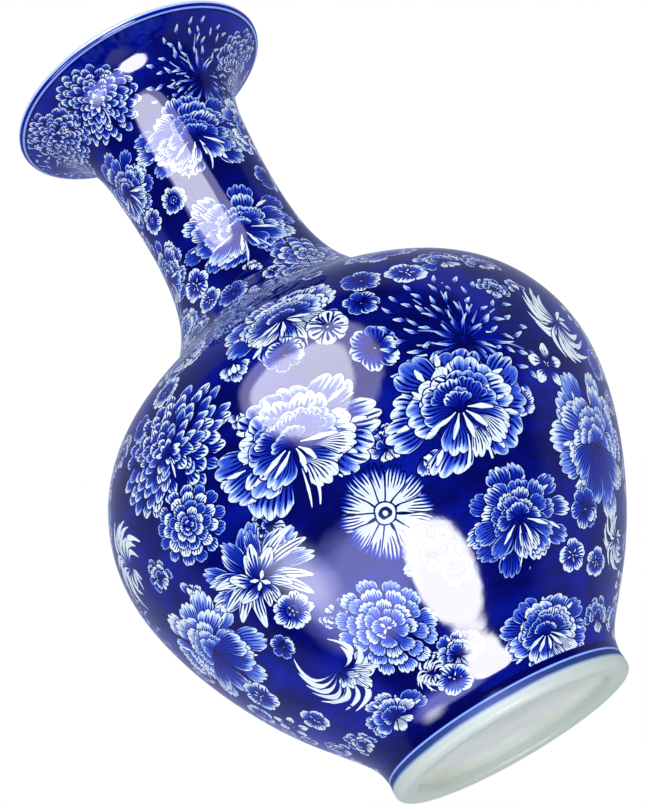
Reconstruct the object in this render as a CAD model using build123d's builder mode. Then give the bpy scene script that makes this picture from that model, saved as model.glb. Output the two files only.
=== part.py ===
"""Porcelain bottle vase with a round belly, a tall waisted neck and a wide flared mouth.

The vase is made the way a potter makes one this tall: foot ring, base plate, lower belly, upper
belly, neck and mouth are shaped apart, and each joint is closed with a thin ring of slip.
The frame has +Z up and its origin at the centre of the standing face. Lengths are millimetres.
"""
import os

from build123d import *

# Foot
FOOT_RADIUS = 55.3          # outside of the turned foot ring
FOOT_HEIGHT = 7.2           # standing face to the joint with the belly
FOOT_EDGE_ROUND = 3.2       # worn outer edge of the standing face
RECESS_RADIUS = 45.6        # shallow hollow under the base
RECESS_EDGE_ROUND = 1.8
LEDGE_HEIGHT = 4.5          # ledge turned inside the foot ring for the base plate
PLATE_RADIUS = 48.5         # base plate, standing on the ledge
PLATE_THICKNESS = 6.0

# Wall
WALL_AT_FOOT = 6.8
WALL_AT_LIP = 3.5
INNER_STATIONS = 22         # points that the inner surface is drawn through

# Joints: a step in each edge holds the next section on centre
SLIP = 0.5                  # thickness of the slip in each joint
STEP = 2.5                  # height of the step
BELLY_JOINT = (131.0, 111.2)        # height, and radius of the step
SHOULDER_JOINT = (220.0, 40.7)
MOUTH_JOINT = (322.0, 34.8)
REACH = 130.0               # further out than any part of the wall

# Outside of the wall, as radius and height, from the foot joint to the lip
OUTSIDE = [
    (55.0, FOOT_HEIGHT + SLIP),
    (56.1, 14.0),
    (61.4, 23.0),
    (76.9, 42.0),
    (94.7, 70.0),
    (109.0, 105.0),
    (113.6, 135.0),
    (109.4, 158.0),
    (100.4, 175.0),
    (86.4, 189.0),
    (69.6, 199.5),
    (54.0, 209.0),
    (44.0, 220.5),
    (37.3, 235.0),
    (33.4, 256.0),
    (32.7, 280.0),
    (34.2, 306.0),
    (38.0, 327.0),
    (47.3, 341.0),
    (53.8, 345.2),
    (60.9, 348.6),
]


def wall_thickness(fraction):
    """Wall thickness at a fraction of the way from the foot to the lip."""
    return WALL_AT_FOOT + (WALL_AT_LIP - WALL_AT_FOOT) * fraction


def inside_point(outline, fraction):
    """Point of the inner surface, one wall thickness in from the outline along its normal."""
    inward = (outline % fraction).rotate(Axis.Z, 90)
    return (outline @ fraction) + inward * wall_thickness(fraction)


def joint_edge(joint, slip):
    """Stepped edge of a joint from the axis outwards, on the slip's lower or upper side."""
    height, step_radius = joint
    return [
        (0, height + STEP + slip),
        (step_radius + slip, height + STEP + slip),
        (step_radius + slip, height + slip),
        (REACH, height + slip),
    ]


def between(lower_edge, upper_edge):
    """Corners of the zone between two edges that both run outwards from the axis."""
    return lower_edge + upper_edge[::-1]


foot_edge = [(0, FOOT_HEIGHT + SLIP), (REACH, FOOT_HEIGHT + SLIP)]
above_lip = [(0, 400), (REACH, 400)]

# Section of the whole wall, which the joints divide
with BuildSketch(Plane.XZ) as wall:
    with BuildLine():
        outside = Spline(*OUTSIDE)
        stations = [1 - i / (INNER_STATIONS - 1) for i in range(INNER_STATIONS)]
        inside = Spline(*[inside_point(outside, fraction) for fraction in stations])
        lip_centre = (outside @ 1 + inside @ 0) / 2
        lip_crest = lip_centre + (outside % 1) * (WALL_AT_LIP / 2)
        ThreePointArc(outside @ 1, lip_crest, inside @ 0)
        Line(inside @ 1, outside @ 0)
    make_face()

# Foot ring: turned ring with a rounded standing edge and a ledge inside for the base plate
with BuildPart() as foot_ring:
    with BuildSketch(Plane.XZ) as foot_section:
        Polygon(
            (RECESS_RADIUS, 0),
            (FOOT_RADIUS, 0),
            (FOOT_RADIUS, FOOT_HEIGHT),
            (PLATE_RADIUS + SLIP, FOOT_HEIGHT),
            (PLATE_RADIUS + SLIP, LEDGE_HEIGHT),
            (RECESS_RADIUS, LEDGE_HEIGHT),
            align=None,
        )
        standing_corners = foot_section.vertices().group_by(Axis.Z)[0]
        inner_corner = standing_corners.sort_by(Axis.X)[0]
        outer_corner = standing_corners.sort_by(Axis.X)[-1]
        fillet(outer_corner, FOOT_EDGE_ROUND)
        fillet(inner_corner, RECESS_EDGE_ROUND)
    revolve(axis=Axis.Z)
foot_ring.part.label = "foot_ring"

# Base plate: the floor of the vase, resting on the ledge of the foot ring
with BuildPart() as base_plate:
    with BuildSketch(Plane.XY.offset(LEDGE_HEIGHT + SLIP)):
        Circle(PLATE_RADIUS)
    extrude(amount=PLATE_THICKNESS)
base_plate.part.label = "base_plate"

# Slip round the base plate, from the ledge to the top of the plate, and between foot and belly
with BuildPart() as foot_slip:
    with BuildSketch(Plane.XZ):
        inner_corner_first = (Align.MIN, Align.MIN)
        with Locations((RECESS_RADIUS, LEDGE_HEIGHT)):
            Rectangle(PLATE_RADIUS + SLIP - RECESS_RADIUS, SLIP, align=inner_corner_first)
        with Locations((PLATE_RADIUS, LEDGE_HEIGHT)):
            Rectangle(SLIP, SLIP + PLATE_THICKNESS, align=inner_corner_first)
        with Locations((PLATE_RADIUS, FOOT_HEIGHT)):
            Rectangle(FOOT_RADIUS - PLATE_RADIUS, SLIP, align=inner_corner_first)
    revolve(axis=Axis.Z)
foot_slip.part.label = "foot_slip"

# Lower belly: bowl from the foot to the widest part, with a seat turned for the base plate
with BuildPart() as lower_belly:
    with BuildSketch(Plane.XZ):
        add(wall.sketch_local)
        Polygon(*between(foot_edge, joint_edge(BELLY_JOINT, 0)), align=None, mode=Mode.INTERSECT)
        with Locations((0, LEDGE_HEIGHT + SLIP)):
            seat_corner = (Align.MIN, Align.MIN)
            Rectangle(PLATE_RADIUS + SLIP, PLATE_THICKNESS, align=seat_corner, mode=Mode.SUBTRACT)
    revolve(axis=Axis.Z)
lower_belly.part.label = "lower_belly"

# Upper belly: from the widest part over the shoulder to the root of the neck
with BuildPart() as upper_belly:
    with BuildSketch(Plane.XZ):
        add(wall.sketch_local)
        upper_belly_zone = between(joint_edge(BELLY_JOINT, SLIP), joint_edge(SHOULDER_JOINT, 0))
        Polygon(*upper_belly_zone, align=None, mode=Mode.INTERSECT)
    revolve(axis=Axis.Z)
upper_belly.part.label = "upper_belly"

# Neck: waisted tube
with BuildPart() as neck:
    with BuildSketch(Plane.XZ):
        add(wall.sketch_local)
        neck_zone = between(joint_edge(SHOULDER_JOINT, SLIP), joint_edge(MOUTH_JOINT, 0))
        Polygon(*neck_zone, align=None, mode=Mode.INTERSECT)
    revolve(axis=Axis.Z)
neck.part.label = "neck"

# Mouth: flare with a rounded lip
with BuildPart() as mouth:
    with BuildSketch(Plane.XZ):
        add(wall.sketch_local)
        Polygon(*between(joint_edge(MOUTH_JOINT, SLIP), above_lip), align=None, mode=Mode.INTERSECT)
    revolve(axis=Axis.Z)
mouth.part.label = "mouth"

# Slip rings of the three stepped joints
with BuildPart() as belly_slip:
    with BuildSketch(Plane.XZ):
        add(wall.sketch_local)
        belly_seam = between(joint_edge(BELLY_JOINT, 0), joint_edge(BELLY_JOINT, SLIP))
        Polygon(*belly_seam, align=None, mode=Mode.INTERSECT)
    revolve(axis=Axis.Z)
belly_slip.part.label = "belly_slip"

with BuildPart() as shoulder_slip:
    with BuildSketch(Plane.XZ):
        add(wall.sketch_local)
        shoulder_seam = between(joint_edge(SHOULDER_JOINT, 0), joint_edge(SHOULDER_JOINT, SLIP))
        Polygon(*shoulder_seam, align=None, mode=Mode.INTERSECT)
    revolve(axis=Axis.Z)
shoulder_slip.part.label = "shoulder_slip"

with BuildPart() as mouth_slip:
    with BuildSketch(Plane.XZ):
        add(wall.sketch_local)
        mouth_seam = between(joint_edge(MOUTH_JOINT, 0), joint_edge(MOUTH_JOINT, SLIP))
        Polygon(*mouth_seam, align=None, mode=Mode.INTERSECT)
    revolve(axis=Axis.Z)
mouth_slip.part.label = "mouth_slip"

sections = (foot_ring, base_plate, lower_belly, upper_belly, neck, mouth)
slips = (foot_slip, belly_slip, shoulder_slip, mouth_slip)
os.makedirs("parts", exist_ok=True)
for piece in sections + slips:
    export_step(piece.part, f"parts/{piece.part.label}.step")
    box = piece.part.bounding_box()
    print(f"{piece.part.label:14s} z {box.min.Z:6.1f} to {box.max.Z:6.1f}  radius {box.max.X:6.1f}")
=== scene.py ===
"""Blue and white porcelain bottle vase, decorated all over with flowers under a clear glaze.

Lengths in this file are millimetres until they reach a mesh, a light or the camera (MM below).
Flowers are laid out on the unrolled wall: "arc" is the distance along the outline up from the
foot joint, and azimuth 0 faces the camera (-Y), positive to its right (+X).
"""
import math
import random

import bmesh
import bpy
import numpy as np
from mathutils import Matrix, Vector


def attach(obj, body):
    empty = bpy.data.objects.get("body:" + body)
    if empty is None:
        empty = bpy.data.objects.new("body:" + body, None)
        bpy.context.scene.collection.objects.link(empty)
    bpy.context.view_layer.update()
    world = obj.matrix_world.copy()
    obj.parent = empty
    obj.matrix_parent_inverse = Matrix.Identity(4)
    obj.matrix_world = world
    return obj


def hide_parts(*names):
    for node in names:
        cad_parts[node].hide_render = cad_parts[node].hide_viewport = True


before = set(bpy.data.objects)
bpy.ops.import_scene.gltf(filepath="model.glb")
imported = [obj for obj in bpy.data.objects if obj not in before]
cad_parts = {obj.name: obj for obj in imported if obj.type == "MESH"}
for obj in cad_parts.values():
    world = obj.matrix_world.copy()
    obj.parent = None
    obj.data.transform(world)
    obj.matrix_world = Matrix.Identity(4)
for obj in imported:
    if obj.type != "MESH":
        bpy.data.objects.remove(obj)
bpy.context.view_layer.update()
scene = bpy.context.scene
MM = 0.001
BODY = "root"

# -------------------------------- shape of the wall

FOOT_TOP = 7.2              # foot ring below, wall above
LEDGE = 4.5                 # ledge in the foot ring that carries the base plate
SLIP = 0.5                  # thickness of the slip in every joint
STEP = 2.5                  # height of the step in the joints of the wall
FOOT_RADIUS = 55.3
PLATE_RADIUS = 48.5
PLATE_BOTTOM = LEDGE + SLIP
PLATE_TOP = PLATE_BOTTOM + 6.0
RECESS_RADIUS = 45.6        # hollow under the base plate
WALL_AT_FOOT = 6.8
WALL_AT_LIP = 3.5
BELLY_JOINT = 131.0
SHOULDER_JOINT = 220.0
MOUTH_JOINT = 322.0

OUTSIDE = [
    (55.0, FOOT_TOP + SLIP), (56.1, 14.0), (61.4, 23.0), (76.9, 42.0), (94.7, 70.0),
    (109.0, 105.0), (113.6, 135.0), (109.4, 158.0), (100.4, 175.0), (86.4, 189.0),
    (69.6, 199.5), (54.0, 209.0), (44.0, 220.5), (37.3, 235.0), (33.4, 256.0),
    (32.7, 280.0), (34.2, 306.0), (38.0, 327.0), (47.3, 341.0), (53.8, 345.2),
    (60.9, 348.6),
]


def natural_spline(knots, values, at):
    """Natural cubic spline through values at knots, and its slope, evaluated at many places."""
    gap = np.diff(knots)
    count = len(knots)
    matrix = np.eye(count)
    right = np.zeros((count, values.shape[1]))
    for i in range(1, count - 1):
        matrix[i, i - 1:i + 2] = gap[i - 1], 2 * (gap[i - 1] + gap[i]), gap[i]
        right[i] = 6 * ((values[i + 1] - values[i]) / gap[i] - (values[i] - values[i - 1]) / gap[i - 1])
    bend = np.linalg.solve(matrix, right)
    k = np.clip(np.searchsorted(knots, at) - 1, 0, count - 2)
    h = gap[k][:, None]
    a = (knots[k + 1] - at)[:, None] / h
    b = 1 - a
    place = a * values[k] + b * values[k + 1]
    place += ((a ** 3 - a) * bend[k] + (b ** 3 - b) * bend[k + 1]) * h * h / 6
    slope = (values[k + 1] - values[k]) / h
    slope += ((3 * b * b - 1) * bend[k + 1] - (3 * a * a - 1) * bend[k]) * h / 6
    return place, slope


class Outline:
    """Outside of the wall by arc length from the foot joint to the lip."""

    def __init__(self, points):
        points = np.array(points)
        chord = np.concatenate([[0], np.cumsum(np.hypot(*np.diff(points, axis=0).T))])
        fine = np.linspace(0, chord[-1], 6000)
        place, slope = natural_spline(chord, points, fine)
        steps = np.hypot(*np.diff(place, axis=0).T)
        self.arc = np.concatenate([[0], np.cumsum(steps)])
        self.place = place
        self.outward = (slope / np.linalg.norm(slope, axis=1)[:, None])[:, ::-1] * (1, -1)
        self.length = self.arc[-1]

    def at(self, arc):
        """Radius and height at an arc length."""
        return np.stack([np.interp(arc, self.arc, column) for column in self.place.T], axis=-1)

    def normal(self, arc):
        """Outward normal, as radius and height, at an arc length."""
        return np.stack([np.interp(arc, self.arc, column) for column in self.outward.T], axis=-1)

    def radius(self, arc):
        return np.interp(arc, self.arc, self.place[:, 0])

    def arc_at_height(self, height):
        return float(np.interp(height, self.place[:, 1], self.arc))

    def inside(self, arc):
        """Point of the inner surface, one wall thickness in from the outside."""
        thickness = WALL_AT_FOOT + (WALL_AT_LIP - WALL_AT_FOOT) * np.asarray(arc) / self.length
        return self.at(arc) - self.normal(arc) * thickness[..., None]


outline = Outline(OUTSIDE)

# -------------------------------- flowers

# A petal is a patch in its own coordinates: v runs 0 to 1 from root to tip, u -1 to 1 across.
# shape: width at the root (over 1.5 draws an ellipse), how far the tip falls off sideways, and the
#        number and depth of its scallops
# wash:  how far the blue wash runs up the petal, and its tone at the root and at the tip
# lines: how far the brushed lines run, their tone, and their number (negative: from the tip down)
STYLES = {
    "fan": ((0.26, 0.20, 3, 0.13), (0.88, 0.17, 0.44), (0.86, 0.05, 8)),
    "fan_white": ((0.26, 0.22, 3, 0.13), (0.76, 0.20, 0.50), (0.78, 0.06, 8)),
    "fan_blue": ((0.22, 0.24, 4, 0.14), (0.92, 0.14, 0.38), (0.88, 0.04, 8)),
    "fan_pale": ((0.24, 0.22, 4, 0.13), (0.86, 0.32, 0.60), (0.80, 0.18, 8)),
    "fan_striped": ((0.20, 0.22, 3, 0.14), (0.16, 0.30, 0.80), (0.72, 0.03, 7)),
    "cup": ((0.36, 0.36, 3, 0.15), (0.82, 0.16, 0.48), (0.84, 0.06, 5)),
    "cup_pale": ((0.36, 0.36, 3, 0.14), (0.85, 0.36, 0.70), (0.80, 0.26, 5)),
    "sliver": ((0.20, 0.85, 1, 0.00), (-1.0, 0.90, 0.90), (-1.0, 0.50, 1)),
    "scale": ((0.50, 0.54, 1, 0.00), (0.80, 0.16, 0.58), (0.84, 0.06, 4)),
    "spoon": ((0.30, 0.60, 1, 0.00), (0.62, 0.12, 0.45), (-1.0, 0.50, 1)),
    "comma": ((0.10, 0.80, 1, 0.00), (1.50, 0.16, 0.90), (-1.0, 0.50, 1)),
    "stalk": ((0.40, 0.90, 1, 0.00), (1.50, 0.20, 0.46), (-1.0, 0.50, 1)),
    "round": ((0.36, 0.32, 2, 0.10), (0.66, 0.20, 0.56), (0.80, 0.10, 5)),
    "round_blue": ((0.36, 0.32, 2, 0.10), (0.92, 0.16, 0.46), (0.90, 0.07, 5)),
    "ray": ((0.24, 0.16, 1, 0.00), (0.14, 0.06, 0.50), (0.78, 0.04, 2)),
    "drop": ((0.18, 0.45, 1, 0.00), (0.45, 0.14, 0.60), (0.60, 0.08, 3)),
    "frayed": ((0.14, 0.20, 4, 0.20), (0.26, 0.06, 0.60), (0.56, 0.06, -6)),
    "lotus": ((0.34, 0.60, 1, 0.00), (0.50, 0.20, 0.60), (0.84, 0.05, 4)),
    "stroke": ((0.34, 0.80, 1, 0.00), (0.10, 0.40, 0.85), (-1.0, 0.50, 1)),
    "plume": ((0.16, 0.36, 1, 0.00), (0.16, 0.30, 0.80), (-1.0, 0.50, 1)),
    "disc_white": ((2.0, 0.0, 1, 0.0), (-1.0, 0.90, 0.90), (-1.0, 0.50, 1)),
    "disc_dark": ((2.0, 0.0, 1, 0.0), (3.0, 0.02, 0.02), (-1.0, 0.50, 1)),
    "disc_blue": ((2.0, 0.0, 1, 0.0), (3.0, 0.20, 0.40), (-1.0, 0.50, 1)),
}


def disc(radius, style):
    """Ring that is a single disc on the heart of a flower."""
    return 1, 0, 360, -radius, 2 * radius, radius, style


# A flower is a list of rings, drawn in order: number of petals, middle and span of the ring in
# degrees (0 is up, positive clockwise), then as fractions of the flower's radius the distance of
# the roots from the heart, length and half-width, then the style and, if any, the bend to one side.
RINGS = {
    "peony": [
        (8, 0, 330, 0.30, 0.72, 0.30, "fan"), (7, 10, 330, 0.60, 0.28, 0.052, "sliver", 0.1),
        (6, 20, 290, 0.16, 0.60, 0.29, "fan_white"), (6, 15, 300, 0.36, 0.30, 0.050, "sliver", 0.1),
        (4, -5, 230, 0.10, 0.50, 0.28, "fan"), (3, 5, 140, 0.14, 0.34, 0.22, "fan_blue"),
        (3, 0, 110, 0.03, 0.26, 0.15, "cup"), (3, 175, 130, 0.08, 0.62, 0.20, "fan_white"),
        (2, 150, 60, 0.28, 0.60, 0.17, "fan_striped", 0.1),
        (5, 180, 160, 0.10, 0.40, 0.050, "sliver", 0.1), (2, 180, 40, 0.42, 0.66, 0.024, "stroke", 0.3),
    ],
    "peony_blue": [
        (10, 0, 350, 0.38, 0.62, 0.20, "fan_blue"), (7, 10, 330, 0.48, 0.32, 0.045, "sliver", 0.1),
        (8, 0, 330, 0.22, 0.54, 0.20, "fan"), (6, 0, 290, 0.10, 0.46, 0.18, "fan_blue"),
        (5, 0, 220, 0.05, 0.34, 0.15, "fan_blue"), (3, 0, 150, 0.02, 0.24, 0.12, "cup"),
        (4, 180, 130, 0.08, 0.64, 0.15, "fan"), (4, 180, 150, 0.16, 0.40, 0.042, "sliver", 0.1),
        (2, 180, 50, 0.32, 0.60, 0.022, "stroke", 0.2),
    ],
    "peony_pale": [
        (10, 0, 345, 0.36, 0.64, 0.21, "fan_pale"), (7, 0, 300, 0.50, 0.30, 0.040, "sliver", 0.1),
        (8, 0, 330, 0.22, 0.54, 0.20, "fan_pale"), (7, 0, 300, 0.10, 0.46, 0.18, "fan_pale"),
        (5, 0, 230, 0.05, 0.34, 0.15, "fan_pale"), (3, 0, 150, 0.02, 0.24, 0.12, "cup_pale"),
        (4, 180, 150, 0.08, 0.72, 0.19, "fan"),
    ],
    "half_peony": [
        (6, 0, 230, 0.32, 0.66, 0.24, "fan"), (5, 0, 220, 0.50, 0.32, 0.055, "sliver"),
        (5, 0, 220, 0.08, 0.62, 0.24, "fan_white"), (4, 0, 150, 0.02, 0.40, 0.18, "fan_blue"),
        (3, 180, 100, 0.05, 0.50, 0.13, "fan_striped"),
    ],
    "ball": [
        (13, 0, 360, 0.56, 0.44, 0.17, "round_blue"), (11, 0, 360, 0.38, 0.42, 0.17, "round"),
        (9, 0, 360, 0.22, 0.40, 0.16, "round_blue"), (7, 0, 360, 0.10, 0.34, 0.14, "round"),
        (5, 0, 360, 0.03, 0.24, 0.12, "cup"), (3, 0, 360, 0.00, 0.14, 0.07, "round"),
    ],
    "ball_pale": [
        (12, 0, 360, 0.52, 0.48, 0.19, "fan_pale"), (10, 0, 360, 0.36, 0.44, 0.19, "fan_pale"),
        (9, 0, 360, 0.20, 0.42, 0.17, "fan_pale"), (7, 0, 330, 0.09, 0.36, 0.15, "fan_pale"),
        (4, 0, 240, 0.02, 0.26, 0.13, "cup_pale"), (3, 0, 360, 0.00, 0.13, 0.04, "sliver"),
    ],
    "chrysanthemum": [
        (19, 0, 350, 0.74, 0.27, 0.108, "scale"), (18, 0, 350, 0.60, 0.27, 0.106, "scale"),
        (16, 0, 350, 0.47, 0.27, 0.102, "scale"), (14, 0, 350, 0.35, 0.27, 0.096, "scale"),
        (11, 0, 350, 0.23, 0.26, 0.088, "scale"), (9, 0, 350, 0.12, 0.24, 0.076, "scale"),
        (6, 0, 350, 0.03, 0.20, 0.060, "spoon"), (2, 178, 16, 0.16, 0.42, 0.022, "stroke", 0.12),
    ],
    "spider": [
        (9, 0, 290, 0.10, 0.74, 0.012, "stalk", 0.20), (11, 0, 300, 0.05, 0.52, 0.014, "stalk", -0.20),
        (17, 0, 290, 0.80, 0.19, 0.034, "comma", 0.20), (16, 8, 290, 0.64, 0.19, 0.032, "comma", -0.20),
        (14, 0, 290, 0.48, 0.20, 0.030, "comma", 0.25), (12, 5, 290, 0.33, 0.21, 0.028, "comma", -0.25),
        (10, 0, 300, 0.06, 0.34, 0.020, "comma", 0.35), (8, 180, 150, 0.06, 0.56, 0.022, "comma", 0.35),
        (7, 180, 170, 0.30, 0.36, 0.020, "comma", -0.20),
    ],
    "star": [
        (12, 0, 360, 0.14, 0.90, 0.235, "frayed"), disc(0.22, "disc_white"), disc(0.10, "disc_dark"),
        disc(0.06, "disc_white"),
    ],
    "lotus": [
        (6, 0, 200, 0.14, 0.95, 0.21, "fan", 0.20), (5, 0, 200, 0.10, 0.84, 0.16, "fan_blue", -0.2),
        (4, 80, 100, 0.04, 0.95, 0.15, "lotus", 0.40), (4, -80, 100, 0.04, 0.90, 0.15, "lotus", -0.40),
        (4, 0, 140, 0.02, 0.60, 0.14, "lotus", 0.20), (4, 180, 150, 0.04, 0.55, 0.12, "lotus", 0.30),
        (4, 0, 360, 0.00, 0.20, 0.05, "sliver"),
    ],
    "blossom": [
        (5, 0, 360, 0.06, 0.94, 0.46, "round"), (5, 36, 360, 0.06, 0.36, 0.04, "sliver"),
        disc(0.10, "disc_blue"), disc(0.05, "disc_white"),
    ],
    "blossom_blue": [
        (6, 0, 360, 0.06, 0.94, 0.42, "round_blue"), (2, 120, 60, 0.05, 0.95, 0.32, "fan_white"),
        disc(0.08, "disc_white"), disc(0.04, "disc_dark"),
    ],
    "five": [
        (5, 10, 360, 0.12, 0.90, 0.27, "drop"), disc(0.10, "disc_dark"),
        (5, 46, 360, 0.02, 0.20, 0.03, "sliver"),
    ],
    "round": [
        (9, 0, 360, 0.08, 0.92, 0.32, "round"), disc(0.30, "disc_blue"),
        (7, 0, 360, 0.10, 0.20, 0.025, "sliver"), disc(0.05, "disc_white"),
    ],
    "wheel": [
        (10, 0, 360, 0.10, 0.90, 0.31, "ray"), disc(0.16, "disc_dark"), disc(0.05, "disc_white"),
    ],
    "bud": [
        (5, 0, 150, 0.0, 1.0, 0.26, "fan_white"), (3, 0, 90, 0.0, 0.6, 0.2, "sliver"),
    ],
    "feather": [
        (6, -50, 95, 0.06, 0.88, 0.072, "plume", 1.60), (5, -35, 85, 0.05, 0.60, 0.066, "plume", 1.50),
        (6, 155, 95, 0.06, 0.88, 0.072, "plume", -1.60),
        (5, 140, 85, 0.05, 0.60, 0.066, "plume", -1.50), (3, 60, 80, 0.05, 0.36, 0.060, "stroke", 0.45),
    ],
    "comet": [
        (9, -110, 150, 0.08, 0.84, 0.068, "plume", 1.60),
        (5, 60, 110, 0.06, 0.66, 0.064, "plume", -1.50), (4, 120, 60, 0.04, 0.62, 0.10, "lotus", 0.2),
        (4, 180, 90, 0.02, 0.40, 0.09, "lotus"),
    ],
}

# Kind, height (mm) and azimuth (degrees) of the heart and radius (mm), then the height over the
# width and the turn (degrees) where they aren't 1 and 0
FLOWERS = [
    # between the others, drawn first
    ("half_peony", 101, 7, 11, 0.9, 10), ("half_peony", 60, 5, 13, 0.9),
    ("half_peony", 27, -3, 13, 0.9), ("half_peony", 100, -22, 10, 0.9, -40),
    ("bud", 92, 13, 8, 1.0, 150), ("half_peony", 116, -55, 9), ("bud", 101, -51, 8, 1.0, 60),
    ("blossom", 98, 40, 7, 0.9), ("half_peony", 147, 48, 9, 0.9, 30), ("bud", 146, 56, 7),
    ("half_peony", 62, -24, 8, 0.9, 180), ("bud", 143, -15, 6, 1.0, 200),
    # mouth
    ("chrysanthemum", 335.5, -26, 20), ("chrysanthemum", 341, -66, 20, 0.9, -60),
    ("spider", 326, 48, 30, 1.0, 20), ("chrysanthemum", 338, 92, 20, 1.0, 50),
    # neck
    ("peony_blue", 299, -56, 20), ("peony_blue", 253, -66, 19, 1.0, -8),
    ("peony_blue", 300, 20, 31, 0.70), ("peony_blue", 248, 14, 31, 0.72), ("peony", 300, 82, 20, 0.9),
    ("blossom_blue", 272, 66, 8), ("round", 277.5, -20, 6.8), ("round", 278, -48, 6.5),
    ("blossom", 236, -35, 8.5), ("blossom", 223.5, -27, 7, 1.0, 20), ("ball", 220, 40, 18, 0.9),
    ("peony", 222, -62, 17, 0.8), ("blossom_blue", 217, -11, 8), ("bud", 224, 4, 6, 1.0, 40),
    ("blossom", 216, 14, 6, 1.0, 10), ("half_peony", 210, 22, 10), ("chrysanthemum", 203, -2, 24, 0.7),
    # shoulder
    ("peony", 171, 2, 27, 0.72), ("bud", 164, -12, 9, 1.0, 190), ("blossom_blue", 154.5, -1.5, 9, 0.95),
    ("wheel", 156, 9, 8.5), ("blossom_blue", 160, 18, 8, 0.9, 30), ("blossom_blue", 138.5, 14.7, 10.5),
    ("blossom_blue", 171.5, 21.8, 9, 0.9), ("blossom", 167, 32, 9.5, 0.8),
    ("half_peony", 169, 44, 14, 0.8), ("half_peony", 164, 53.5, 11, 0.9, 10),
    ("round", 177, -32, 9, 0.8), ("blossom_blue", 171.5, -42, 7, 0.9),
    ("half_peony", 172, -54, 13, 0.8), ("peony", 187, -26, 17, 0.6), ("peony_pale", 187, 36, 18, 0.6),
    # belly
    ("spider", 127.5, 32.5, 36, 1.0, 5), ("chrysanthemum", 151, -34, 35, 0.66),
    ("feather", 129.5, 62.5, 22), ("feather", 131, -64, 22, 1.0, 100),
    ("peony_pale", 83, -61, 33, 0.78), ("peony_pale", 79, 63.5, 33, 0.95),
    ("ball", 121, -38, 20.5, 0.74), ("lotus", 87, -32.5, 25, 0.85), ("peony", 120.5, -9, 36, 0.66),
    ("peony", 103.5, 25, 32, 0.80), ("five", 110, 51, 10), ("star", 81, 0, 19),
    ("round", 71.5, -31.8, 10, 0.8), ("blossom_blue", 64.5, -42, 6),
    # lower belly
    ("ball_pale", 47.5, -16, 19.5, 1.12), ("peony_blue", 59.5, 30, 26, 0.84),
    ("comet", 45, -36, 22, 0.9, 10), ("blossom", 60, -66, 10, 0.9), ("blossom", 40.5, -62, 8, 0.85),
    ("half_peony", 22, -37.5, 17.5, 0.72), ("half_peony", 23, -63, 10, 0.9),
    ("blossom", 21, -9, 8, 0.9), ("peony", 20.5, 32, 22, 0.74), ("blossom", 41.5, 47, 8, 0.9),
    ("blossom", 38, 59.5, 8, 0.8, 20), ("blossom_blue", 56, 54, 9.5, 0.9),
    ("half_peony", 20, 63, 11, 0.9), ("feather", 46, 74, 15), ("blossom", 52, 9, 7),
    ("feather", 26, -14, 8, 1.0, 90),
]

# Kinds and radii (mm) that fill the sides and the back, largest first
FILLING = [
    (("peony", "peony_blue", "peony", "peony_pale", "ball_pale"), 33, 240),
    (("chrysanthemum", "spider", "ball", "chrysanthemum"), 27, 240),
    (("peony", "ball", "lotus", "feather", "comet", "star"), 20, 440),
    (("half_peony", "peony_blue", "ball"), 14, 680), (("half_peony",), 10, 850),
    (("blossom", "blossom_blue", "round", "five", "wheel"), 8, 1190), (("blossom", "bud"), 5.5, 1190),
]
FRONT = math.radians(72)        # the list above covers the wall up to this azimuth,
SHOULDER = (188, 214)           # except between these heights

# -------------------------------- laying petals on the wall

LAYERS = 5                  # petals kept for one face of the mesh, topmost first
MARGIN = 4.0                # mm around a flower in which its petals may still reach
OUTLINE_REACH = 1.4         # how far outside a petal its dark outline and a face's own size reach
SPACING = 0.80              # least distance between hearts of the filling over their radii
WIDEST = 0.75               # where along a petal it reaches its full width
TIP_POWER = 2.2             # how late the tip falls off on its way to the sides
DISC = 1.5                  # width at the root over which a petal is drawn as a disc
OFF_PETAL = -9.0            # place along a petal that stands for no petal
PARTS = ("form", "tip", "wash", "ink")      # what is stored per face for each layer


def wrapped(turn):
    """The same angle within half a turn either way."""
    return (turn + math.pi) % (2 * math.pi) - math.pi


def smooth(low, high, x):
    t = np.clip((x - low) / (high - low), 0, 1)
    return t * t * (3 - 2 * t)


def petal_gap(u, v, length, width, base, point):
    """Distance in mm from a place to the petal's edge, positive inside."""
    if base > DISC:
        return (1 - np.hypot(u, 2 * v - 1)) * width
    side = base + (1 - base) * smooth(0, WIDEST, v)
    tip = 1 - point * np.abs(u) ** TIP_POWER
    return np.minimum(np.minimum((tip - v) * length, (side - np.abs(u)) * width), v * length)


def petal_place(x, y, across, along, root, length, width, bend, hook):
    """Petal coordinates of places given in mm from the flower's heart on the unrolled wall."""
    v = (x * across + y * along - root) / length
    u = (x * along - y * across) / width
    return u - bend * v * (v - hook), v


class Petal:
    """One petal of a flower: its place on the unrolled wall and how it is drawn."""

    def __init__(self, home, root, angle, length, width, squash, style, bend, rng):
        shape, wash, lines = STYLES[style]
        self.home = home                        # arc length and azimuth of the flower's heart
        self.squash = squash
        hook = 1.0 if style == "plume" else 0.0
        self.lie = (math.sin(angle), math.cos(angle), root, length, width, bend * length / width, hook)
        self.form = (length, width, shape[0])
        self.tip = shape[1:]
        self.wash = (wash[0] * rng.uniform(0.8, 1.15), wash[1] + rng.uniform(-0.04, 0.06), wash[2])
        self.ink = lines
        self.seed = rng.uniform(0, 50)


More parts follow.
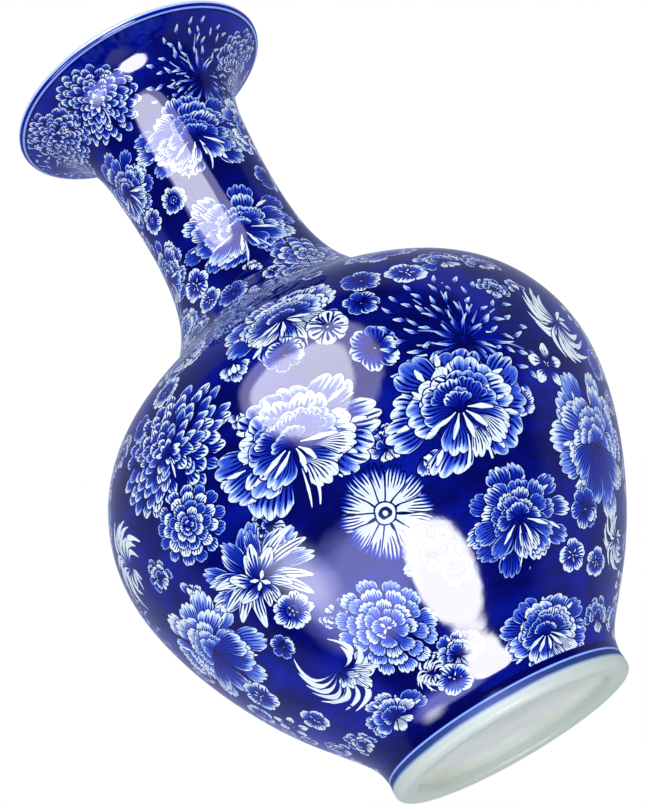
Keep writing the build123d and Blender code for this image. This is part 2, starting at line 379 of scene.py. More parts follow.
def flower(rng, kind, height, azimuth, radius, squash=1.0, turn=0):
    """Petals of one flower, in drawing order."""
    home = (outline.arc_at_height(height), math.radians(azimuth))
    petals = []
    for count, middle, span, root, length, width, style, *bend in RINGS[kind]:
        loose = (count > 1) * (0.35 if span == 360 else 1)
        order = list(range(count))
        rng.shuffle(order)
        for i in order:
            step = (i + 0.5) / count - 0.5 + loose * rng.uniform(-0.30, 0.30) / count
            angle = math.radians(turn + middle + span * step)
            reach = radius * (1 + loose * rng.uniform(-0.18, 0.12))
            sway = sum(bend) * rng.uniform(0.8, 1.2) + loose * rng.uniform(-0.16, 0.16)
            petals.append(Petal(home, root * radius, angle, length * reach,
                                width * radius * rng.uniform(0.88, 1.16), squash, style, sway, rng))
    return radius * max(1, squash), home, petals


def grow_garden():
    """All flowers in drawing order: the filling first, so that the listed ones lie on top."""
    rng = random.Random(11)
    placed = []
    for _, height, azimuth, radius, *shape in FLOWERS:
        squash = shape[0] if shape else 1.0
        placed.append((outline.arc_at_height(height), math.radians(azimuth), radius * (1 + squash) / 2))
    filling = []
    for kinds, radius, tries in FILLING:
        for _ in range(tries):
            arc = rng.uniform(6, outline.length - 6)
            azimuth = rng.uniform(-math.pi, math.pi)
            size = radius * rng.uniform(0.85, 1.1)
            height = float(outline.at(arc)[1])
            listed = abs(azimuth) < FRONT and not SHOULDER[0] < height < SHOULDER[1]
            if not listed and all(spread(arc, azimuth, other) > SPACING * (size + other[2])
                                  for other in placed):
                placed.append((arc, azimuth, size))
                filling.append((rng.choice(kinds), height, math.degrees(azimuth), size,
                                rng.uniform(0.8, 1.0), rng.uniform(-20, 20)))
    return [flower(rng, *spec) for spec in filling + FLOWERS]


def spread(arc, azimuth, other):
    """Distance on the unrolled wall, in mm, to another flower's heart."""
    turn = wrapped(azimuth - other[1])
    return math.hypot(arc - other[0], turn * float(outline.radius((arc + other[0]) / 2)))


garden = grow_garden()


class Wall:
    """Outside of one section as a grid of places, with the topmost petals on each face."""

    def __init__(self, arcs, columns):
        self.arcs = arcs
        self.turns = 2 * math.pi * np.arange(columns) / columns
        self.radii = outline.radius(np.clip(arcs, 0, outline.length))
        self.layers = -np.ones((len(arcs) - 1, columns, LAYERS), int)
        self.petals = []
        for reach, home, petals in garden:
            self.lay(reach, home, petals)

    def offsets(self, rows, columns, home):
        """Millimetres to the right of and above a flower's centre."""
        turn = wrapped(self.turns[columns] - home[1])
        return self.radii[rows] * turn, self.arcs[rows] - home[0] + 0 * turn

    def lay(self, reach, home, petals):
        reach += MARGIN
        near = np.flatnonzero(np.abs(self.arcs - home[0]) < reach)
        if len(near) < 2:
            return
        count = len(self.turns)
        span = min(math.pi, reach / self.radii[near].min())
        half = int(span / (2 * math.pi) * count) + 1
        middle = int(round(home[1] / (2 * math.pi) * count))
        columns = np.unique(np.arange(middle - half, middle + half + 1) % count)
        following = (columns + 1) % count
        low, high = near[:-1, None], near[1:, None]
        corners = [self.offsets(r, c, home) for r in (low, high) for c in (columns, following)]
        faces = np.ix_(near[:-1], columns)
        for petal in petals:
            gaps = []
            for x, y in corners:
                u, v = petal_place(x, y / petal.squash, *petal.lie)
                gaps.append(petal_gap(u, v, *petal.form, petal.tip[0]))
            touched = np.max(gaps, axis=0) > -OUTLINE_REACH
            if touched.any():
                block = self.layers[faces]
                block[touched] = np.concatenate(
                    [np.full((touched.sum(), 1), len(self.petals)), block[touched][:, :-1]], axis=1)
                self.layers[faces] = block
                self.petals.append(petal)

    def layer_values(self, layer):
        """Per face corner (u, v, seed), and per face each of the petal's parts."""
        rows, count = self.layers.shape[:2]
        which = self.layers[..., layer].ravel()
        row, column = (a.ravel() for a in np.meshgrid(np.arange(rows), np.arange(count), indexing="ij"))
        empty = which < 0
        pick = np.maximum(which, 0)

        def table(read):
            return np.array([read(p) for p in self.petals])[pick]

        home, lie = table(lambda p: p.home), table(lambda p: p.lie).T
        squash, seed = table(lambda p: (p.squash, p.seed)).T
        places = []
        for down, across in ((0, 0), (0, 1), (1, 1), (1, 0)):
            x = self.radii[row + down] * wrapped(self.turns[(column + across) % count] - home[:, 1])
            u, v = petal_place(x, (self.arcs[row + down] - home[:, 0]) / squash, *lie)
            v[empty] = OFF_PETAL
            places.append(np.stack([u, v, seed], axis=1))
        parts = {part: table(lambda p: getattr(p, part)) for part in PARTS}
        return np.stack(places, axis=1).reshape(-1, 3), parts


# -------------------------------- meshes

def revolve(name, profile, columns, normals, wall=None):
    """Solid of revolution from a closed profile, with the outward normals at each edge's two ends.

    With a wall, the profile's first rows carry its petals.
    """
    profile = np.array(profile)
    count = len(profile)
    turns = 2 * math.pi * np.arange(columns) / columns
    around = np.stack([np.sin(turns), -np.cos(turns)], axis=1)
    points = np.empty((count, columns, 3))
    points[..., :2] = profile[:, None, :1] * around
    points[..., 2] = profile[:, None, 1]
    row, column = np.meshgrid(np.arange(count), np.arange(columns), indexing="ij")
    above, beside = (row + 1) % count, (column + 1) % columns
    faces = np.stack([row * columns + column, row * columns + beside,
                      above * columns + beside, above * columns + column], axis=-1).reshape(-1, 4)
    mesh = bpy.data.meshes.new(name)
    mesh.from_pydata((points.reshape(-1, 3) * MM).tolist(), [], faces.tolist())
    ends = np.array(normals)                                    # count, 2, 2
    corner_end = np.array([0, 0, 1, 1])
    corner_side = np.array([0, 1, 1, 0])
    flat = ends[:, corner_end]                                  # count, 4, (radius, height)
    turn = around[(np.arange(columns)[:, None] + corner_side) % columns]
    loops = np.empty((count, columns, 4, 3))
    loops[..., :2] = flat[:, None, :, :1] * turn[None]
    loops[..., 2] = flat[:, None, :, 1]
    mesh.polygons.foreach_set("use_smooth", np.ones(len(mesh.polygons), bool))
    mesh.normals_split_custom_set(loops.reshape(-1, 3).tolist())
    if wall is not None:
        paint_layers(mesh, wall, count, columns)
    piece = bpy.data.objects.new(name, mesh)
    scene.collection.objects.link(piece)
    return piece


def store(mesh, name, domain, values):
    """Adds numbers or triples to the vertices, faces or face corners of a mesh."""
    kind, field = ("FLOAT", "value") if values.ndim == 1 else ("FLOAT_VECTOR", "vector")
    mesh.attributes.new(name, kind, domain).data.foreach_set(field, values.ravel())


def paint_layers(mesh, wall, count, columns):
    """Stores each face's petals for the glaze material to draw."""
    rows = wall.layers.shape[0]
    for layer in range(LAYERS):
        place = np.full((count * columns * 4, 3), (0.0, OFF_PETAL, 0.0))
        values, parts = wall.layer_values(layer)
        place[:len(values)] = values
        store(mesh, f"petal{layer}_place", "CORNER", place)
        for part, rows_of in parts.items():
            whole = np.ones((count * columns, 3))
            whole[:rows * columns] = rows_of
            store(mesh, f"petal{layer}_{part}", "FACE", whole)


# -------------------------------- sections of the vase

CELL = 1.9                  # size of the wall's faces
HALF_SLIP = SLIP / 2
EDGE = 0.3                  # glaze and clay that cover the slip at each surface
COLUMNS = {"lower_belly": 384, "upper_belly": 384, "neck": 224, "mouth": 256}
STEP_RADIUS = {BELLY_JOINT: 111.2, SHOULDER_JOINT: 40.7, MOUTH_JOINT: 34.8}
INSIDE_ARCS = np.linspace(0, outline.length, 2000)
INSIDE_POINTS = outline.inside(INSIDE_ARCS)
LIP_ANGLES = np.linspace(0, math.pi, 15)[1:-1]      # around the half-round lip


def inside_arc(height):
    """Arc length at which the inner surface reaches a height."""
    return float(np.interp(height, INSIDE_POINTS[:, 1], INSIDE_ARCS))


def run(points, normals):
    """Profile points of a smooth run with their normals, as (point, normal) pairs."""
    return list(zip([tuple(p) for p in points], [tuple(n) for n in normals]))


def outside_run(low, high):
    arcs = np.linspace(low, high, max(2, int(round((high - low) / CELL)) + 1))
    return arcs, run(outline.at(arcs), outline.normal(arcs))


def inside_run(high, low):
    arcs = np.linspace(high, low, max(2, int(round((high - low) / (2.5 * CELL))) + 1))
    return run(outline.inside(arcs), -outline.normal(arcs))


def corner_run(points):
    """Straight edges between points, each with its own flat normal."""
    return [(tuple(p), None) for p in points]


def arc_run(centre, radius, angles):
    """Smooth run along an arc in the profile plane."""
    directions = np.stack([np.cos(angles), np.sin(angles)], axis=1)
    return run(np.array(centre) + directions * radius, directions)


def close_profile(runs):
    """Joins runs into one closed profile, with the normals at both ends of every edge."""
    chain = [item for part in runs for item in part]
    points = [p for p, _ in chain]
    ends = []
    for i, (point, normal) in enumerate(chain):
        following, next_normal = chain[(i + 1) % len(chain)]
        dr, dz = following[0] - point[0], following[1] - point[1]
        size = math.hypot(dr, dz) or 1
        flat = (dz / size, -dr / size)
        smooth_edge = normal is not None and next_normal is not None
        bent = smooth_edge and normal[0] * flat[0] + normal[1] * flat[1] > 0.6
        ends.append((normal, next_normal) if bent else (flat, flat))
    return points, ends


def joint_radii(joint, cover=EDGE):
    """Radii at which a joint starts behind the outside and ends behind the inside."""
    back = outline.inside(np.array([inside_arc(joint + STEP)]))[0][0]
    return outline.radius(outline.arc_at_height(joint)) - cover, back + cover


def top_edge(joint):
    """Stepped top of a section, from the outside to the inside."""
    middle, top = STEP_RADIUS[joint], joint + STEP
    out, back = joint_radii(joint)
    return [(out, joint + HALF_SLIP), (out, joint), (middle, joint), (middle, top), (back, top),
            (back, top + HALF_SLIP)]


def bottom_edge(joint):
    """Stepped bottom of the next section, from the inside to the outside."""
    middle, top = STEP_RADIUS[joint] + SLIP, joint + STEP + SLIP
    out, back = joint_radii(joint)
    return [(back, top - HALF_SLIP), (back, top), (middle, top), (middle, joint + SLIP),
            (out, joint + SLIP), (out, joint + HALF_SLIP)]


def add_piece(piece, slot, *nodes):
    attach(piece, BODY)
    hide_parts(*nodes)
    return piece


def section(name, lower, upper):
    """Closed shell of one section between two joints; None is the foot or the lip."""
    columns = COLUMNS[name]
    low = outline.arc_at_height(lower + HALF_SLIP) if lower else 0.0
    high = outline.arc_at_height(upper + HALF_SLIP) if upper else outline.length
    arcs, outside = outside_run(low, high)
    top = corner_run(top_edge(upper)) if upper else lip_run()
    inside_high = inside_arc(upper + STEP + HALF_SLIP) if upper else outline.length
    inside_low = inside_arc(lower + STEP + HALF_SLIP if lower else PLATE_TOP)
    seat = [(PLATE_RADIUS + SLIP, PLATE_TOP), (PLATE_RADIUS + SLIP, FOOT_TOP + SLIP)]
    bottom = corner_run(bottom_edge(lower) if lower else seat)
    profile, ends = close_profile([outside, top, inside_run(inside_high, inside_low), bottom])
    piece = revolve(name + "_wall", profile, columns, ends, Wall(arcs, columns))
    # distance along the outline, for the finishing lines; past the lip's end it is the inside
    marks = np.full(len(profile), outline.length + 2 * WALL_AT_LIP)
    marks[:len(arcs)] = arcs
    if not upper:
        marks[len(arcs):len(arcs) + len(top)] = outline.length + WALL_AT_LIP / 2 * LIP_ANGLES
    store(piece.data, "arc", "POINT", np.repeat(marks, columns))
    return piece


def lip_run():
    """Half-round lip from the end of the outside to the start of the inside."""
    normal = outline.normal(outline.length)
    centre = outline.at(outline.length) - normal * WALL_AT_LIP / 2
    return arc_run(centre, WALL_AT_LIP / 2, math.atan2(normal[1], normal[0]) + LIP_ANGLES)


joints = (None, BELLY_JOINT, SHOULDER_JOINT, MOUTH_JOINT, None)
walls = [add_piece(section(node, lower, upper), "cobalt_decor", node)
         for node, lower, upper in zip(COLUMNS, joints, joints[1:])]


def ring_piece(name, profile, columns=256):
    points, ends = close_profile([corner_run(profile)])
    return revolve(name, points, columns, ends)


def slip_ring(name, joint):
    """Slip in a stepped joint, covered at both surfaces."""
    middle, top = STEP_RADIUS[joint], joint + STEP
    out, back = joint_radii(joint, EDGE + 0.05)
    return ring_piece(name + "_ring", [
        (out, joint), (out, joint + SLIP), (middle + SLIP, joint + SLIP), (middle + SLIP, top + SLIP),
        (back, top + SLIP), (back, top), (middle, top), (middle, joint),
    ])


slips = {name: slip_ring(name, joint)
         for name, joint in zip(("belly_slip", "shoulder_slip", "mouth_slip"), joints[1:])}
slips["foot_slip"] = ring_piece("foot_slip_ring", [
    (FOOT_RADIUS - 0.8, FOOT_TOP), (FOOT_RADIUS - 0.8, FOOT_TOP + SLIP),
    (PLATE_RADIUS + SLIP, FOOT_TOP + SLIP), (PLATE_RADIUS + SLIP, PLATE_TOP),
    (PLATE_RADIUS, PLATE_TOP), (PLATE_RADIUS, PLATE_BOTTOM), (RECESS_RADIUS, PLATE_BOTTOM),
    (RECESS_RADIUS, LEDGE), (PLATE_RADIUS + SLIP, LEDGE), (PLATE_RADIUS + SLIP, FOOT_TOP),
])
for node, slip_piece in slips.items():
    add_piece(slip_piece, "slip", node)


def foot():
    """Turned foot ring with a worn rounded edge that just meets the wall above it."""
    outer, inner = 3.2, 1.8
    profile, ends = close_profile([
        arc_run((FOOT_RADIUS - outer, outer), outer, np.radians(np.linspace(-90, 0, 12))),
        run([(FOOT_RADIUS, 5.2), (FOOT_RADIUS - 0.1, 6.4), (FOOT_RADIUS - 0.3, FOOT_TOP + SLIP)],
            [(1, 0), (0.99, 0.12), (0.99, 0.14)]),
        corner_run([(FOOT_RADIUS - 0.7, FOOT_TOP + SLIP), (FOOT_RADIUS - 0.7, FOOT_TOP),
                    (PLATE_RADIUS + SLIP, FOOT_TOP), (PLATE_RADIUS + SLIP, LEDGE),
                    (RECESS_RADIUS, LEDGE), (RECESS_RADIUS, LEDGE - 0.01)]),
        arc_run((RECESS_RADIUS + inner, inner), inner, np.radians(np.linspace(180, 270, 9))),
    ])
    return revolve("foot_ring_turned", profile, 256, ends)


foot_piece = add_piece(foot(), "foot_porcelain", "foot_ring")


def base():
    """Base plate: a disc whose underside is very slightly domed, closed at its centre."""
    columns, pin = 192, 0.4
    dome = 0.5
    radii = np.linspace(pin, RECESS_RADIUS, 24)
    under = [(r, PLATE_BOTTOM + dome * (1 - (r / RECESS_RADIUS) ** 2)) for r in radii]
    slope = [(-2 * dome * r / RECESS_RADIUS ** 2, -1.0) for r in radii]
    profile, ends = close_profile([
        run(under, slope),
        corner_run([(PLATE_RADIUS, PLATE_BOTTOM), (PLATE_RADIUS, PLATE_TOP), (pin, PLATE_TOP)])])
    piece = revolve("base_plate_disc", profile, columns, ends)
    fill_centre(piece.data, pin)
    return piece


def fill_centre(mesh, radius):
    """Closes the pin hole at the axis: each of its rings is drawn together to one point."""
    work = bmesh.new()
    work.from_mesh(mesh)
    pin = [v for v in work.verts if math.hypot(v.co.x, v.co.y) < 1.01 * radius * MM]
    for wall_face in [f for f in work.faces if all(v in pin for v in f.verts)]:
        work.faces.remove(wall_face)
    for vertex in pin:
        vertex.co.x = vertex.co.y = 0
    bmesh.ops.remove_doubles(work, verts=pin, dist=0.1 * MM)
    work.to_mesh(mesh)
    work.free()
    mesh.set_sharp_from_angle(angle=math.radians(35))


base_piece = add_piece(base(), "white_glaze", "base_plate")

# -------------------------------- materials

class Wire:
    """A node's output that can be used in arithmetic."""

    def __init__(self, tree, socket):
        self.tree = tree
        self.socket = socket

    def math(self, operation, *others):
        return new_wire(self.tree, "Math", enumerate((self,) + others), operation=operation)

    def __add__(self, other):
        return self.math("ADD", other)

    def __sub__(self, other):
        return self.math("SUBTRACT", other)

    def __mul__(self, other):
        return self.math("MULTIPLY", other)

    def __truediv__(self, other):
        return self.math("DIVIDE", other)

    def __rsub__(self, value):
        return (self * -1) + value

    def __pow__(self, power):
        return self.math("POWER", power)

    def __abs__(self):
        return self.math("ABSOLUTE")

    def smooth(self, low, high):
        """Smooth step from 0 at low to 1 at high; low may be above high."""
        return new_wire(self.tree, "MapRange", enumerate((self, low, high, 0.0, 1.0)),
                        interpolation_type="SMOOTHSTEP")


def add_node(tree, kind, inputs=(), **settings):
    """Adds a shader node with its settings and feeds its inputs."""
    node = tree.nodes.new("ShaderNode" + kind)
    for name, value in settings.items():
        setattr(node, name, value)
    feed(node, inputs)
    return node


def feed(node, inputs):
    """Connects or fills a node's inputs, by name or number, with wires or plain values."""
    for key, value in dict(inputs).items():
        if isinstance(value, Wire):
            value.tree.links.new(value.socket, node.inputs[key])
        else:
            node.inputs[key].default_value = value


def new_wire(tree, kind, inputs=(), output=0, **settings):
    """Output of a new shader node."""
    return Wire(tree, add_node(tree, kind, inputs, **settings).outputs[output])


def blend_wires(low, high, amount):
    """Mix of two wires or numbers, by an amount that is a wire."""
    return new_wire(amount.tree, "Mix", {"Factor": amount, "A": low, "B": high})


def split(vector):
    return [Wire(vector.tree, output)
            for output in add_node(vector.tree, "SeparateXYZ", {0: vector}).outputs]


def random_from(first, second):
    """Random value 0 to 1 that is fixed by two numbers."""
    pair = new_wire(first.tree, "CombineXYZ", {0: first, 1: second})
    return new_wire(first.tree, "TexWhiteNoise", {"Vector": pair}, "Value", noise_dimensions="3D")


def petal_group():
    """Draws one petal over what lies below it. Tone 0 is the densest cobalt and 1 is white."""
    tree = bpy.data.node_groups.new("petal", "ShaderNodeTree")
    tree.interface.new_socket("Under", in_out="INPUT", socket_type="NodeSocketFloat")
    for part in ("place",) + PARTS:
        tree.interface.new_socket(part.title(), in_out="INPUT", socket_type="NodeSocketVector")
    tree.interface.new_socket("Tone", in_out="OUTPUT", socket_type="NodeSocketFloat")
    entry, leave = tree.nodes.new("NodeGroupInput"), tree.nodes.new("NodeGroupOutput")
    given = {output.name: Wire(tree, output) for output in entry.outputs}
    u, v, seed = split(given["Place"])
    length, width, base = split(given["Form"])
    point, lobes, notch = split(given["Tip"])
    wash_reach, root_tone, tip_tone = split(given["Wash"])
    line_reach, line_tone, count = split(given["Ink"])

    u = u + (v * 7 + seed).math("SINE") * 0.06
    across = abs(u)
    side = base + (1 - base) * v.smooth(0, WIDEST)
    phase = (u + 1) * lobes + (u * 3 + seed).math("SINE") * 0.25
    scallop = abs((phase * (math.pi / 2)).math("SINE"))
    bite = (1 - (scallop + 0.001) ** 0.6) * notch
    tip = 1 - (across + 0.0001) ** TIP_POWER * point - bite
    fan_gap = ((tip - v) * length).math("MINIMUM", (side - across) * width).math("MINIMUM", v * length)
    ring_v = v * 2 - 1
    disc_gap = (1 - (u * u + ring_v * ring_v).math("SQRT")) * width
    is_disc = base.math("GREATER_THAN", DISC)
    gap = blend_wires(fan_gap, disc_gap, is_disc)
    cover = gap.smooth(-0.08, 0.12)
    outline_mask = gap.smooth(-0.75, -0.45) * (v + 0.02).smooth(-0.05, 0.02)

    lane = (u / (side + 0.001) * 0.5 + 0.5) * abs(count) + seed
    number = lane.math("FLOOR")
    off_middle = abs(lane - number - 0.5) * 2
    chance = random_from(number, seed)
    along = blend_wires(v / (tip + 0.001), 1.04 - v, count.math("LESS_THAN", 0))
    edge = along + (chance - 0.5) * 0.22
    washed = edge.smooth(wash_reach + 0.16, wash_reach - 0.16)
    wash = blend_wires(root_tone, tip_tone, along.smooth(0, 1))
    room = (line_reach - along + (chance - 0.5) * 0.30) / 0.30
    thick = (room.math("MAXIMUM", 0) ** 0.6).math("MINIMUM", 0.46)
    lined = (thick - off_middle).smooth(-0.16, 0.10)
    inside = blend_wires((chance - 0.5) * 0.06 + 0.95, wash, washed)
    inside = blend_wires(inside, line_tone, lined)
    rim = gap.smooth(0.65, 0.25) * v.smooth(0.25, 0.6) * 0.80 * (1 - is_disc)
    rim = rim * count.math("GREATER_THAN", 0)
    inside = inside.math("MAXIMUM", rim)

    drawn = blend_wires(blend_wires(given["Under"], 0.0, outline_mask), inside, cover)
    feed(leave, {"Tone": drawn})
    return tree


def attribute(tree, name, output="Vector"):
    return new_wire(tree, "Attribute", output=output, attribute_name=name)


def noise(vector, scale, detail=3.0, roughness=0.55):
    inputs = {"Vector": vector, "Scale": scale, "Detail": detail, "Roughness": roughness}
    return new_wire(vector.tree, "TexNoise", inputs, "Fac")


def stretched(vector, factors):
    return new_wire(vector.tree, "Mapping", {"Vector": vector, "Scale": factors})


def ramp(value, stops):
    node = add_node(value.tree, "ValToRGB", {0: value})
    elements = node.color_ramp.elements
    for place, colour in stops[1:-1]:
        elements.new(place).color = linear(colour)
    elements[0].color = linear(stops[0][1])
    elements[-1].color = linear(stops[-1][1])
    return Wire(value.tree, node.outputs["Color"])


def linear(colour):
    """Linear colour of a display colour."""
    return (*(channel ** 2.2 for channel in colour), 1)


def new_material(name):
    material = bpy.data.materials.new(name)
    material.use_nodes = True
    tree = material.node_tree
    tree.nodes.clear()
    shader = add_node(tree, "BsdfPrincipled")
    add_node(tree, "OutputMaterial", {0: Wire(tree, shader.outputs[0])})
    return material, shader, new_wire(tree, "TexCoord", output="Object")


def bump(height, distance, strength):
    inputs = {"Height": height, "Distance": distance, "Strength": strength}
    return new_wire(height.tree, "Bump", inputs)


# Cobalt under glaze, from densest to bare white porcelain
COBALT = [
    (0.00, (0.000, 0.020, 0.240)), (0.06, (0.000, 0.055, 0.390)), (0.13, (0.015, 0.090, 0.530)),
    (0.28, (0.065, 0.170, 0.690)), (0.45, (0.200, 0.325, 0.820)), (0.65, (0.490, 0.630, 0.935)),
    (0.84, (0.800, 0.890, 0.985)), (1.00, (0.955, 0.995, 0.985)),
]
FOOT_WHITE = [(0.0, (0.74, 0.785, 0.76)), (0.25, (0.78, 0.82, 0.80)), (0.5, (0.56, 0.67, 0.81)),
              (0.74, (0.16, 0.26, 0.50)), (1.0, (0.10, 0.18, 0.40))]
BASE_WHITE = [(0.0, (0.79, 0.80, 0.76)), (0.5, (0.84, 0.86, 0.83)), (1.0, (0.88, 0.90, 0.88))]
SLIP_WHITE = [(0.0, (0.72, 0.75, 0.72)), (1.0, (0.86, 0.88, 0.85))]
FLOOR_WHITE = [(0.0, (0.66, 0.66, 0.655)), (1.0, (0.70, 0.70, 0.695))]
INSIDE_STARTS = (outline.length + 2.6, outline.length + 3.2)    # over the lip, glaze turns white


def cobalt_material():
    material, shader, coordinates = new_material("cobalt_decor")
    tree = coordinates.tree
    brushed = noise(stretched(coordinates, (22, 22, 95)), 1.0, 4.0, 0.6)
    pooled = noise(coordinates, 30.0, 2.0)
    grain = noise(coordinates, 900.0, 2.0)
    ground = brushed.smooth(0.40, 0.75) * 0.08 + pooled.smooth(0.45, 0.75) * 0.10 + grain * 0.03 + 0.02
    arc = attribute(tree, "arc", "Fac")
    # the ground turns slightly lighter over the last 18 mm before the lip
    tone = ground + arc.smooth(outline.length - 18, outline.length - 3) * 0.07
    group = petal_group()
    for layer in reversed(range(LAYERS)):
        stored = {part.title(): attribute(tree, f"petal{layer}_{part}") for part in ("place",) + PARTS}
        tone = new_wire(tree, "Group", {"Under": tone, **stored}, node_tree=group)
    tone = tone + (grain - 0.5) * 0.05 + (pooled - 0.5) * 0.04
    tone = blend_wires(edge_bands(arc, tone), 1.0, arc.smooth(*INSIDE_STARTS))
    ripple = noise(coordinates, 45.0, 2.0) + noise(coordinates, 400.0, 2.0) * 0.05
    feed(shader, {
        "Base Color": ramp(tone, COBALT),
        "Roughness": noise(coordinates, 60.0, 3.0) * 0.05 + 0.035,
        "IOR": 1.52,
        "Normal": bump(ripple, 0.0006, 0.35),
    })
    return material


def edge_bands(arc, tone):
    """Pale and dark lines that finish the lip and the foot."""
    end = outline.length
    for low, high, level in ((end - 1.9, end - 0.9, 0.01), (end - 0.9, end + 0.2, 0.70),
                             (end + 0.2, end + 1.5, 0.14), (end + 1.5, end + 3.5, 0.80),
                             (1.0, 3.8, 0.02), (0.1, 1.1, 0.70), (-1.0, 0.1, 0.24)):
        band = arc.smooth(low - 0.3, low + 0.3) * arc.smooth(high + 0.3, high - 0.3)
        tone = blend_wires(tone, level, band)
    return tone


def foot_material():
    """Bare off-white porcelain with a satin sheen, greyer where it has been handled."""
    material, shader, coordinates = new_material("foot_porcelain")
    cloud = noise(coordinates, 35.0, 4.0)
    throwing = noise(stretched(coordinates, (12, 12, 900)), 1.0, 3.0)
    specks = noise(coordinates, 1400.0, 1.0)
    shade = cloud * 0.35 + throwing * 0.25 - specks.smooth(0.70, 0.78) * 0.10
    x, y, height = split(coordinates)
    outer = (x * x + y * y).smooth((50 * MM) ** 2, (51 * MM) ** 2)
    blue = (height * (1 / MM) + cloud * 0.6).smooth(3.4, 7.1) * outer
    feed(shader, {
        "Base Color": ramp(blue * 0.75 + shade * 0.4, FOOT_WHITE),
        "Roughness": cloud * 0.15 + 0.40,
        "Specular IOR Level": 0.25,
        "Normal": bump(throwing * 0.5 + specks * 0.08 + cloud * 0.5, 0.0004, 0.5),
    })
    return material


def base_material():
    """White glaze on the base and inside, with a faint stained bloom."""
    material, shader, coordinates = new_material("white_glaze")
    cloud = noise(coordinates, 26.0, 4.0, 0.6)
    pits = noise(coordinates, 700.0, 1.0)
    shade = (1 - cloud.smooth(0.35, 0.75)) * 0.9 - pits.smooth(0.72, 0.8) * 0.15
    feed(shader, {
        "Base Color": ramp(shade, BASE_WHITE),
        "Roughness": cloud * 0.1 + 0.06,
        "Normal": bump(cloud + pits * 0.04, 0.0010, 0.4),
    })
    return material


def slip_material():
    """Fired slip: matt, slightly warmer and grainier than the body."""
    material, shader, coordinates = new_material("slip")
    grit = noise(coordinates, 1100.0, 4.0, 0.7)
    feed(shader, {
        "Base Color": ramp(grit, SLIP_WHITE),
        "Roughness": grit * 0.2 + 0.6,
        "Normal": bump(grit, 0.0002, 0.6),
    })
    return material


for pieces, finish in ((walls, cobalt_material()), ([foot_piece], foot_material()),
                       ([base_piece], base_material()), (slips.values(), slip_material())):
    for piece in pieces:
        piece.data.materials.append(finish)

# -------------------------------- studio

TARGET = Vector((0.0, 0.0, 130.0))      # what the lights aim at


def direction(azimuth, elevation):
    """Unit vector from the vase; azimuth 0 is towards -Y and positive towards +X. Degrees."""
    turn, rise = math.radians(azimuth), math.radians(elevation)
    return Vector((math.sin(turn) * math.cos(rise), -math.cos(turn) * math.cos(rise), math.sin(rise)))


def camera():
    """Camera below the foot, looking up and rolled so that the vase leans to the left."""
    place = Vector((0.0, -897.2, -164.9))
    aim = Vector((0.45, 0.0, 170.0))
    roll = math.radians(30.27)
    forward = (aim - place).normalized()
    level = forward.cross(Vector((0, 0, 1))).normalized()
    upright = level.cross(forward)
    right = level * math.cos(roll) - upright * math.sin(roll)
    up = level * math.sin(roll) + upright * math.cos(roll)
    data = bpy.data.cameras.new("camera")
    data.lens = 97.03
    data.sensor_width = 36
    data.clip_start = 0.05
    seat = bpy.data.objects.new("camera", data)
    turn = Matrix((right, up, -forward)).transposed().to_4x4()
    seat.matrix_world = Matrix.Translation(place * MM) @ turn
    scene.collection.objects.link(seat)
    scene.camera = seat


WHITE, VIOLET, BLUE = (1, 1, 1), (0.66, 0.62, 1.0), (0.42, 0.44, 1.0)
SQUARENESS = 2.6            # of a softbox; 2 is an ellipse


def soften(light, edge, taper):
    """Rounds a softbox, narrows its top and lets it fade over a fraction of its size at the edge."""
    light.use_nodes = True
    tree = light.node_tree
    across, along, _ = split(new_wire(tree, "NewGeometry", output="Parametric"))
    offsets = (across - 0.5) * (along * -taper + (1 + taper / 2)), along - 0.5
    sides = [(abs(offset) * 2) ** SQUARENESS for offset in offsets]
    level = ((sides[0] + sides[1]) ** (1 / SQUARENESS)).smooth(1.0, 1.0 - 2 * edge)
    emission = next(node for node in tree.nodes if node.type == "EMISSION")
    feed(emission, {"Strength": level})


def softbox(name, azimuth, elevation, distance, width, height, radiance, colour=WHITE, fill=False,
            edge=0.12, taper=0.0):
    """Rectangular light of an angular size in degrees, aimed at the vase.

    The highlights come from bright boxes that only the gloss sees, and the even light on the
    flowers comes from the room and from fill boxes that the gloss doesn't see.
    """
    data = bpy.data.lights.new(name, "AREA")
    data.shape = "RECTANGLE"
    data.size = 2 * distance * MM * math.tan(math.radians(width / 2))
    data.size_y = 2 * distance * MM * math.tan(math.radians(height / 2))
    data.energy = radiance * math.pi * data.size * data.size_y
    data.color = colour
    soften(data, edge, taper)
    lamp = bpy.data.objects.new(name, data)
    away = direction(azimuth, elevation)
    lamp.location = (TARGET + away * distance) * MM
    lamp.rotation_euler = away.to_track_quat("Z", "Y").to_euler()
    lamp.visible_camera = False
    lamp.visible_diffuse = fill
    lamp.visible_glossy = not fill
    scene.collection.objects.link(lamp)


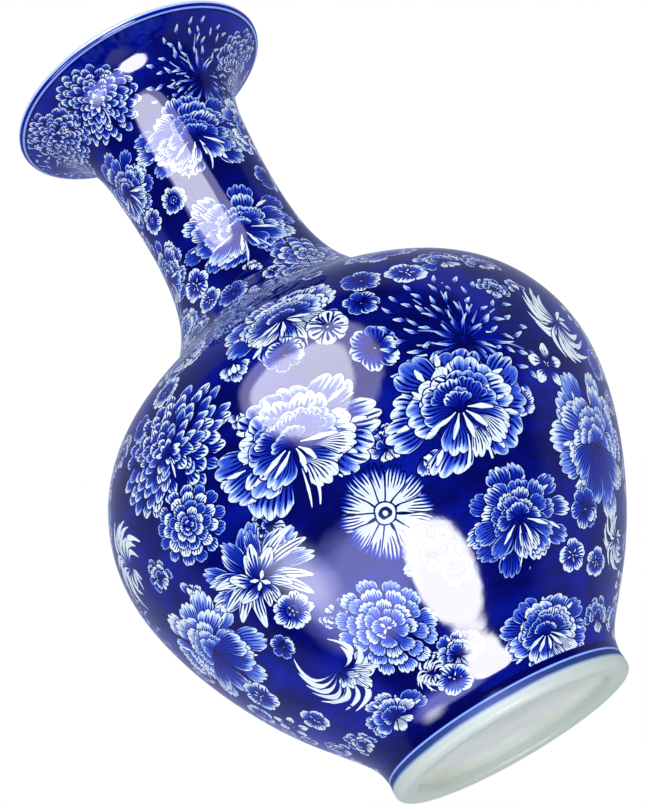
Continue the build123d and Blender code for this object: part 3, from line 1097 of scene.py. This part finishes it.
def studio_world():
    """White room: the camera sees white, the porcelain reflects a dim front and a bright back."""
    world = bpy.data.worlds.new("studio")
    world.use_nodes = True
    tree = world.node_tree
    tree.nodes.clear()
    _, y, _ = split(new_wire(tree, "TexCoord", output="Generated"))
    reflected = y.smooth(-0.15, 0.08) * 0.34 + y.smooth(0.3, 0.95) * 0.12 + 0.05
    to_camera, glossy = (new_wire(tree, "LightPath", output=f"Is {kind} Ray")
                         for kind in ("Camera", "Glossy"))
    seen = blend_wires(0.62, 1.0, to_camera)
    white, tinted = (new_wire(tree, "Background", {"Color": colour, "Strength": level})
                     for colour, level in (((1, 1, 1, 1), seen), ((0.62, 0.68, 1, 1), reflected)))
    add_node(tree, "OutputWorld", {0: new_wire(tree, "MixShader", {0: glossy, 1: white, 2: tinted})})
    scene.world = world


def floor():
    """Pale floor that is only seen from above, because the camera looks up from below it."""
    side, drop = 20000, 0.3
    mesh = bpy.data.meshes.new("floor")
    corners = [(-side, -side, -drop), (side, -side, -drop), (side, side, -drop), (-side, side, -drop)]
    mesh.from_pydata([Vector(c) * MM for c in corners], [], [(0, 1, 2, 3)])
    material, shader, coordinates = new_material("floor")
    tree = coordinates.tree
    cloud = noise(coordinates, 3.0, 3.0)
    feed(shader, {
        "Base Color": ramp(cloud, FLOOR_WHITE),
        "Roughness": 0.8,
        "Emission Color": (1, 1, 1, 1),
        "Emission Strength": 0.62,
    })
    below = new_wire(tree, "NewGeometry", output="Backfacing")
    clear = new_wire(tree, "BsdfTransparent")
    mix = new_wire(tree, "MixShader", {0: below, 1: Wire(tree, shader.outputs[0]), 2: clear})
    feed(next(node for node in tree.nodes if node.type == "OUTPUT_MATERIAL"), {0: mix})
    mesh.materials.append(material)
    ground = bpy.data.objects.new("floor", mesh)
    ground.visible_shadow = False
    ground.visible_glossy = False
    scene.collection.objects.link(ground)


camera()
softbox("core_box", -3, 24, 1100, 42, 54, 9.0, edge=0.06, taper=0.3)
softbox("halo_box", 2, 27, 1200, 57, 70, 5.5, VIOLET, edge=0.06, taper=0.2)
softbox("left_box", -34, -42, 1100, 68, 34, 8.5, BLUE, edge=0.28)
softbox("side_box", -51, -28, 1100, 30, 30, 9, edge=0.45)
softbox("low_box", 14, -51, 1100, 29, 32, 22, edge=0.08)
softbox("fill_box", -8, 8, 6000, 60, 60, 2.0, fill=True)
softbox("under_box", 0, -60, 1500, 60, 60, 2.2, fill=True)
studio_world()
floor()
scene.view_settings.view_transform = "Standard"
